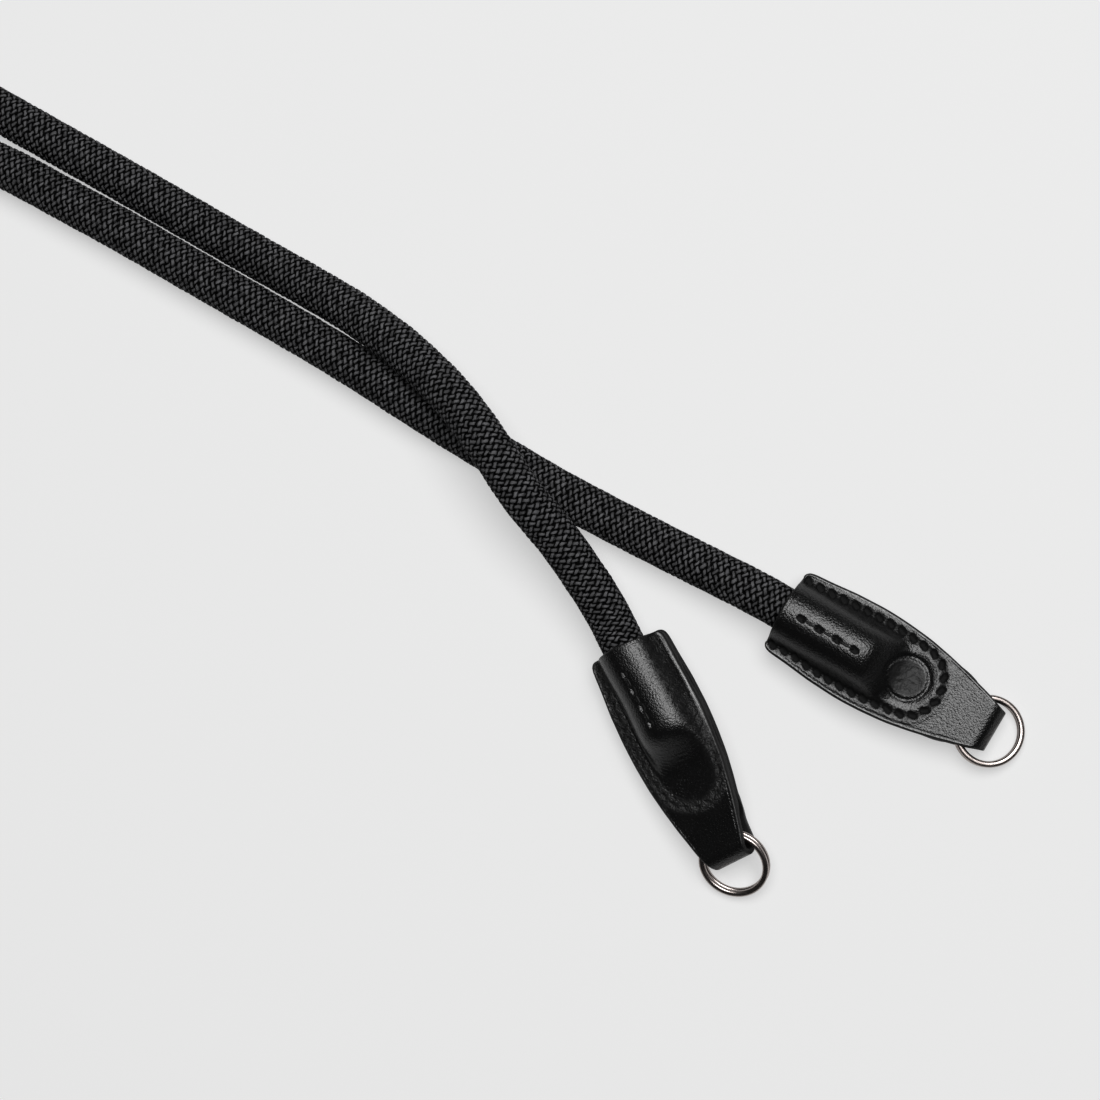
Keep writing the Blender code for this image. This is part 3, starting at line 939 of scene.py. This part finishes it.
def creases(flat):
    """Fine creases where the tip bends, fanning out beyond the rope's end."""
    s, t = flat[..., 0], flat[..., 1]
    span = eased(s, 23.0, 27.0) * (1 - eased(s, 33.5, 37.0)) * (1 - eased(np.abs(t), 4.5, 7.0))
    turns = (s + CREASE_BEND * (t - CREASE_MIDDLE) ** 2) * 2 * math.pi / CREASE_SPACING
    fold = np.sin(turns + 1.3 * np.sin(t * 0.9) + 0.8 * np.sin(s * 1.7)) ** 3
    patchy = 0.5 + 0.5 * np.sin(1.3 * t + 0.9 * s)
    return CREASE_DEPTH * fold * span * patchy


EDGE_ROUND = 0.42
EDGE_DYED = 0.5  # how far the edge's dye comes in over the face
# A line is pressed along the edge, and the leather shines along another nearer to it.
LINE_IN, LINE_WIDTH, LINE_DEPTH = 0.85, 0.16, 0.09
WAXED_IN, WAXED_WIDTH = 0.5, 0.13
RELIEF_FADES = 44.0  # where the front's relief starts to fade towards the fold
ROPE_CLEAR = 4.95  # the pocket's least radius
RIM_STEPS = np.array([0.0, 0.05, 0.14, 0.27, 0.42])  # of the points by an edge, from the edge
TYPICAL_HALF_WIDTH = 10.0
FRONT_STEP = 0.22
BACK_STEP = 0.6
FOLD_POINTS = 19
POINTS_ACROSS = 93


def clear_of_rope(points):
    """Moves points that lie inside the rope out to its surface."""
    off_axis = np.hypot(points[..., 1], points[..., 2])
    grown = ROPE_CLEAR / np.maximum(off_axis, 0.1)
    grown = np.where(points[..., 0] < ROPE_IN_END + 0.3, grown, 1.0)
    grown = np.where(np.abs(points[..., 1]) < ROPE_CLEAR, np.maximum(grown, 1.0), 1.0)
    return points * np.stack([np.ones_like(grown), grown, grown], -1)


def make_leather(end):
    """One folded strip: its outer face with all relief, its inner face and its cut edges."""
    path = np.concatenate([
        RIM_STEPS,
        np.arange(0.65, TURN_IN - 0.1, FRONT_STEP),
        TURN_IN + np.linspace(0.0, FOLD_PATH, FOLD_POINTS),
        np.arange(TURN_IN + FOLD_PATH + 0.6, 2 * TURN_IN + FOLD_PATH - 0.6, BACK_STEP),
        2 * TURN_IN + FOLD_PATH - RIM_STEPS[::-1],
    ])
    edge_share = 1 - RIM_STEPS / TYPICAL_HALF_WIDTH
    widest = 1 - 0.5 / TYPICAL_HALF_WIDTH
    between = np.linspace(-widest, widest, POINTS_ACROSS)
    share = np.concatenate([-edge_share, between, edge_share[::-1]])
    base, along = outer_face(end, path, share)
    normals = grid_normals(base)
    inside = clear_of_rope(base - normals * layer(along)[:, None, None])
    width = half_width(end, along)[:, None]
    to_side = np.maximum(width - np.abs(base[..., 1]), 0.0)
    to_mouth = np.minimum(path, path[-1] - path)[:, None] + 0 * to_side
    to_edge = np.minimum(to_side, to_mouth)
    drop = sum(
        EDGE_ROUND - np.sqrt(EDGE_ROUND**2 - np.clip(EDGE_ROUND - gap, 0.0, EDGE_ROUND) ** 2)
        for gap in (to_side, to_mouth)
    )
    drop = np.minimum(drop, 1.1 * EDGE_ROUND)
    on_front = (path <= TURN_IN)[:, None]
    fade = 1 - eased(along, RELIEF_FADES, TURN_IN)[:, None]
    height, dent, near = relief_of_front(end, base[..., :2])
    back_height, back_dent = back_relief(end, base[..., :2])
    height = (height - LINE_DEPTH * ridge(to_edge, LINE_IN, LINE_WIDTH)) * fade
    height = np.where(on_front, height, back_height)
    dent = np.where(on_front, dent * fade, back_dent)
    near = np.where(on_front, near * fade, 0.0)
    outside = base + normals * (height - drop)[..., None]
    edge = np.clip(1 - to_edge / EDGE_DYED, 0.0, 1.0)
    line = np.where(on_front, ridge(to_side, WAXED_IN, WAXED_WIDTH), 0.0)
    masks = {"edge": edge, "dent": dent, "near": near, "line": line}
    return strip_mesh(end, outside, inside, masks)


def back_relief(end, flat):
    """The sewing as it shows on the back: the same seams, drawn in a little."""
    seams = SEAMS[end.name]
    places, heading = seam_places(seams.edge, EDGE_STITCHES)
    hole = pits(flat, places, heading, BACK_PIT)
    valley = ridge(along_seam(flat, seams.edge), 0.0, 0.75)
    off_fold = 1 - eased(flat[..., 0], 43.0, 46.0)
    return (-0.1 * valley - 0.2 * hole) * off_fold, hole * off_fold


def strip_mesh(end, outside, inside, outer_masks):
    """The strip from its two faces, with its cut edges; masks are 0 on the inner face."""
    rows, columns = outside.shape[:2]
    count = rows * columns
    points = np.concatenate([outside.reshape(-1, 3), inside.reshape(-1, 3)])
    row, column = np.meshgrid(np.arange(rows - 1), np.arange(columns - 1), indexing="ij")
    first = row * columns + column
    quads = np.stack([first, first + columns, first + columns + 1, first + 1], -1).reshape(-1, 4)
    rim = [i * columns for i in range(rows)]
    rim += [(rows - 1) * columns + j for j in range(1, columns)]
    rim += [i * columns + columns - 1 for i in range(rows - 2, -1, -1)]
    rim += list(range(columns - 2, 0, -1))
    rim = np.array(rim)
    after = np.roll(rim, -1)
    walls = np.stack([rim, rim + count, after + count, after], -1)
    faces = np.concatenate([quads, quads[:, ::-1] + count, walls])
    masks = {
        name: np.concatenate([values.ravel(), np.full(count, float(name == "edge"))])
        for name, values in outer_masks.items()
    }
    return mesh_piece(f"{end.name}_leather", lay(end, points), faces, masks)


# --- Stitches ---


def surface_at(end, along, across, front=True):
    """The point of a leather end's outer face at a place in mm, and its normal there."""
    share = across / half_width(end, np.array([along]))[0]
    path = along if front else 2 * TURN_IN + FOLD_PATH - along
    near = np.array([path - 0.1, path, path + 0.1])
    shares = np.array([share - 0.01, share, share + 0.01])
    patch, _ = outer_face(end, near, shares)
    return patch[1, 1], grid_normals(patch)[1, 1]


def model_stitch():
    """One stitch, modelled once: a plump piece of thread of unit length and width."""
    deselect()
    bpy.ops.mesh.primitive_uv_sphere_add(
        segments=10, ring_count=8, radius=0.5, rotation=(0, math.pi / 2, 0))
    stitch = bpy.context.object
    bpy.ops.object.transform_apply(location=True, rotation=True, scale=True)
    points = np.array([v.co[:] for v in stitch.data.vertices])
    # Sorted, because the primitive's faces come in another order each time.
    faces = sorted(tuple(p.vertices) for p in stitch.data.polygons)
    bpy.data.objects.remove(stitch, do_unlink=True)
    return points, faces


STITCH_DIP = 0.35  # how far a stitch's ends dip into their holes, in thread thicknesses
# How long the stitches are, and how deep they lie.
FRONT_STITCH, FRONT_SINK = 1.6, 0.5
BACK_STITCH, BACK_SINK = 2.0, 0.3
CROWN_GAP, CROWN_SINK = 0.5, 0.4


def make_stitches(end, settings):
    """All the thread that shows on one leather end."""
    thread = settings.thread / MM
    shape, faces = model_stitch()
    points, stitch_faces = [], []

    def add(near, far, length, depth, slant, front=True):
        place, normal = surface_at(end, *(near + far) / 2, front)
        heading = far - near
        angle = math.atan2(heading[1], heading[0]) + slant
        ahead = np.array([math.cos(angle), math.sin(angle), 0.0])
        ahead = unit(ahead - normal * (ahead @ normal))
        sideways = np.cross(normal, ahead)
        local = shape * np.array([length, thread, thread])
        dip = (np.abs(shape[:, 0]) * 2) ** 3 * STITCH_DIP * thread
        made = place + local[:, :1] * ahead + local[:, 1:2] * sideways
        made = made + (local[:, 2:3] - dip[:, None] - depth) * normal
        start = sum(len(p) for p in points)
        points.append(made)
        stitch_faces.extend(tuple(start + i for i in face) for face in faces)

    seams = SEAMS[end.name]
    places, _ = seam_places(seams.edge, EDGE_STITCHES)
    for near, far in zip(places, places[1:]):
        add(near, far, FRONT_STITCH, FRONT_SINK, STITCH_SLANT)
        add(near, far, BACK_STITCH, BACK_SINK, -STITCH_SLANT, front=False)
    crown = crown_places(seams)
    for near, far in zip(crown, crown[1:]):
        add(near, far, far[0] - near[0] - CROWN_GAP, CROWN_SINK, 0.0)
    return mesh_piece(f"{end.name}_stitches", lay(end, np.concatenate(points)), stitch_faces)


# --- Split rings ---


CROSSING = math.radians(26)  # half the stretch on which the wire changes coils
END_GAP = math.radians(6)  # from that stretch to an end of the wire
WIRE_CORNER = 0.80  # 1 for an oval wire, less for one with fuller corners


def make_ring(ring, settings):
    """A split ring: one wire of nearly two turns that crosses from coil to coil."""
    sides, steps = 18, 260
    mean = (RING_DIAMETER - settings.wire_width / MM) / 2
    start = CROSSING + END_GAP
    way = np.linspace(start, 4 * math.pi - start, steps + 1)
    level = COIL_PITCH * (eased(way, 2 * math.pi - CROSSING, 2 * math.pi + CROSSING) - 0.5)
    angle = 2 * math.pi * np.arange(sides) / sides
    out = np.sign(np.cos(angle)) * np.abs(np.cos(angle)) ** WIRE_CORNER
    up = np.sign(np.sin(angle)) * np.abs(np.sin(angle)) ** WIRE_CORNER
    radius = mean + settings.wire_width / MM / 2 * out
    x = -radius[None, :] * np.cos(way)[:, None]
    y = -radius[None, :] * np.sin(way)[:, None]
    z = level[:, None] + settings.wire_height / MM / 2 * up[None, :]
    points = np.stack([x, y, z], -1).reshape(-1, 3)
    row, place = np.meshgrid(np.arange(steps), np.arange(sides), indexing="ij")
    after = (place + 1) % sides
    quads = np.stack([
        row * sides + place, (row + 1) * sides + place,
        (row + 1) * sides + after, row * sides + after,
    ], -1).reshape(-1, 4)
    faces = [tuple(q) for q in quads]
    faces.append(tuple(range(sides)))
    faces.append(tuple(reversed(range(steps * sides, (steps + 1) * sides))))
    placed = turned_by(points, ring.heading, ring.fall, ring.roll) + np.array(ring.middle)
    made = mesh_piece(f"{ring.name}_ring", to_frame(placed), faces)
    deselect()
    made.select_set(True)
    bpy.context.view_layer.objects.active = made
    bpy.ops.object.shade_smooth_by_angle(angle=math.radians(40))
    return made


# --- Operators ---


SOFTBOX_PLACE = (-0.03, 0.45, 1.53)
DISPLAY_GAMMA = 0.75
GROUND_SIZE = 6.0
SENSOR = 36.0
# Of the picture: its width, its scale at the surface, and how far the folded strap's line
# is turned in it.
PICTURE_WIDTH = 1100.0
PIXELS_PER_METRE = 4550.0
STRAP_TURN = math.atan2(0.507, 0.862)


class NECKSTRAP_OT_stage(bpy.types.Operator):
    """Lay the pale surface, set the soft lights and aim the camera"""

    bl_idname = "neckstrap.stage"
    bl_label = "Stage"

    def execute(self, context):
        settings = context.scene.neckstrap_stage
        self.make_surface(settings)
        self.make_lights(settings)
        self.make_camera(settings)
        return {"FINISHED"}

    def make_surface(self, settings):
        deselect()
        bpy.ops.mesh.primitive_plane_add(size=GROUND_SIZE, location=(0.0, 0.0, 0.0))
        surface = bpy.context.object
        surface.name = surface.data.name = "surface"
        surface.data.materials.append(surface_material(settings))

    def make_lights(self, settings):
        scene = bpy.context.scene
        scene.view_settings.view_transform = "Standard"
        scene.view_settings.gamma = DISPLAY_GAMMA
        world = bpy.data.worlds.new("studio")
        scene.world = world
        world.use_nodes = True
        sky = world.node_tree.nodes["Background"]
        sky.inputs["Color"].default_value = (1.0, 1.0, 1.0, 1.0)
        sky.inputs["Strength"].default_value = settings.room
        light = bpy.data.lights.new("softbox", "AREA")
        light.shape = "DISK"
        light.size = settings.softbox
        light.energy = settings.power
        lamp = new_object("softbox", light)
        lamp.location = SOFTBOX_PLACE
        lamp.rotation_euler = (-Vector(SOFTBOX_PLACE)).to_track_quat("-Z", "Y").to_euler()

    def make_camera(self, settings):
        lean = settings.lean
        view = Vector((-math.sin(lean), 0.0, -math.cos(lean)))
        strap_up = Vector((math.cos(lean), 0.0, -math.sin(lean)))
        left = Vector((0.0, 1.0, 0.0))
        right = math.cos(STRAP_TURN) * strap_up + math.sin(STRAP_TURN) * left
        top = -math.sin(STRAP_TURN) * strap_up + math.cos(STRAP_TURN) * left
        data = bpy.data.cameras.new("camera")
        data.sensor_width = SENSOR
        data.lens = SENSOR * PIXELS_PER_METRE * settings.distance / PICTURE_WIDTH
        data.clip_start = 0.05
        data.dof.use_dof = False
        camera = new_object("camera", data)
        aim = Vector(tuple(-ORIGIN * MM))
        turned = Matrix((right, top, -view)).transposed().to_4x4()
        camera.matrix_world = Matrix.Translation(aim - view * settings.distance) @ turned
        bpy.context.scene.camera = camera


class NECKSTRAP_OT_rope(bpy.types.Operator):
    """Lay the rope: its core, and the braided cover in several lengths"""

    bl_idname = "neckstrap.rope"
    bl_label = "Rope"

    def execute(self, context):
        settings = context.scene.neckstrap_rope
        finish = braid_material(settings)
        core = make_core(settings)
        declare(core, finish)
        cover = make_braid(settings)
        for piece in cover:
            declare(piece, finish)
        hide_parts("rope")
        return {"FINISHED"}


class NECKSTRAP_OT_leather(bpy.types.Operator):
    """Make the two folded leather ends"""

    bl_idname = "neckstrap.leather"
    bl_label = "Leather ends"

    def execute(self, context):
        finish = leather_material(context.scene.neckstrap_leather)
        for end in ENDS.values():
            piece = declare(make_leather(end), finish)
            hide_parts(f"{end.name}_leather_end")
        return {"FINISHED"}


class NECKSTRAP_OT_stitches(bpy.types.Operator):
    """Sew the leather ends"""

    bl_idname = "neckstrap.stitches"
    bl_label = "Stitches"

    def execute(self, context):
        settings = context.scene.neckstrap_leather
        finish = thread_material(settings)
        for end in ENDS.values():
            declare(make_stitches(end, settings), finish)
        return {"FINISHED"}


class NECKSTRAP_OT_rings(bpy.types.Operator):
    """Hang a split ring in the fold of each leather end"""

    bl_idname = "neckstrap.rings"
    bl_label = "Split rings"

    def execute(self, context):
        settings = context.scene.neckstrap_rings
        finish = ring_material(settings)
        for ring in RINGS:
            piece = declare(make_ring(ring, settings), finish)
            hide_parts(f"{ring.name}_split_ring")
        return {"FINISHED"}


class NECKSTRAP_PT_panel(bpy.types.Panel):
    """The strap's sizes and the steps that make it"""

    bl_label = "Neck Strap"
    bl_idname = "NECKSTRAP_PT_panel"
    bl_space_type = "VIEW_3D"
    bl_region_type = "UI"
    bl_category = "Neck Strap"

    def draw(self, context):
        scene = context.scene
        steps = (
            (NECKSTRAP_OT_stage, scene.neckstrap_stage),
            (NECKSTRAP_OT_rope, scene.neckstrap_rope),
            (NECKSTRAP_OT_leather, scene.neckstrap_leather),
            (NECKSTRAP_OT_stitches, None),
            (NECKSTRAP_OT_rings, scene.neckstrap_rings),
        )
        for operator, settings in steps:
            box = self.layout.box()
            for name in settings.__annotations__ if settings else ():
                box.prop(settings, name)
            box.operator(operator.bl_idname)


SETTINGS = {
    "neckstrap_stage": NeckStrapStageSettings,
    "neckstrap_rope": NeckStrapRopeSettings,
    "neckstrap_leather": NeckStrapLeatherSettings,
    "neckstrap_rings": NeckStrapRingSettings,
}
OPERATORS = (
    NECKSTRAP_OT_stage,
    NECKSTRAP_OT_rope,
    NECKSTRAP_OT_leather,
    NECKSTRAP_OT_stitches,
    NECKSTRAP_OT_rings,
)


def register():
    for each in (*SETTINGS.values(), *OPERATORS, NECKSTRAP_PT_panel):
        bpy.utils.register_class(each)
    for name, group in SETTINGS.items():
        setattr(bpy.types.Scene, name, bpy.props.PointerProperty(type=group))


def unregister():
    for name in SETTINGS:
        delattr(bpy.types.Scene, name)
    for each in reversed((*SETTINGS.values(), *OPERATORS, NECKSTRAP_PT_panel)):
        bpy.utils.unregister_class(each)


def main():
    register()
    bpy.ops.neckstrap.stage()
    bpy.ops.neckstrap.rope()
    bpy.ops.neckstrap.leather()
    bpy.ops.neckstrap.stitches()
    bpy.ops.neckstrap.rings()


if __name__ == "__main__":
    main()
